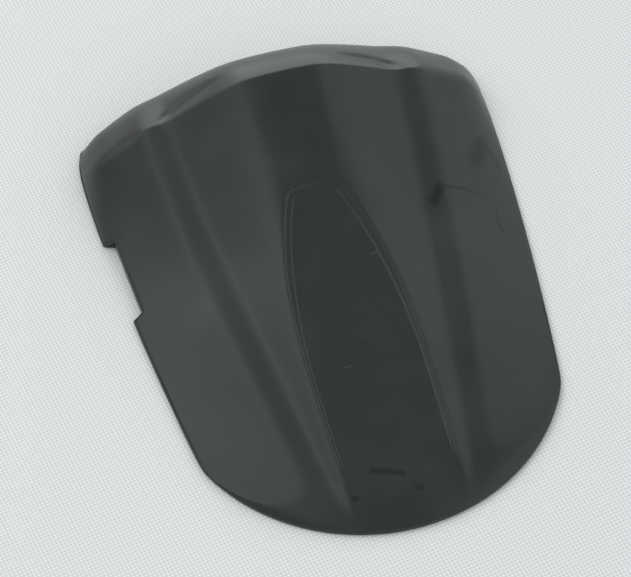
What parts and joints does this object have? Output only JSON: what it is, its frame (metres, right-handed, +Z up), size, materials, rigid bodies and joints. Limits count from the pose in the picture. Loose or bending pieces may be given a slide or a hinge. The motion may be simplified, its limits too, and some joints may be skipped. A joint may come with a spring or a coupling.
{
  "type": "seat cowl",
  "caption": "Shield-shaped one-piece moulded shell with a raised middle, two channels, an embossed panel and a rolled front face.",
  "frame": {"origin": "middle of the footprint, on the plane that the free edge rests on", "axes": "+Z up, +Y towards the wide front end with the crest, X across the shell"},
  "size_m": [0.24, 0.3186, 0.0585],
  "materials": {
    "black_plastic": "unpainted moulded black plastic, satin to matte, lightly scuffed"
  },
  "bodies": {
    "root": {"cowl_shell": "black_plastic"}
  },
  "joints": []
}
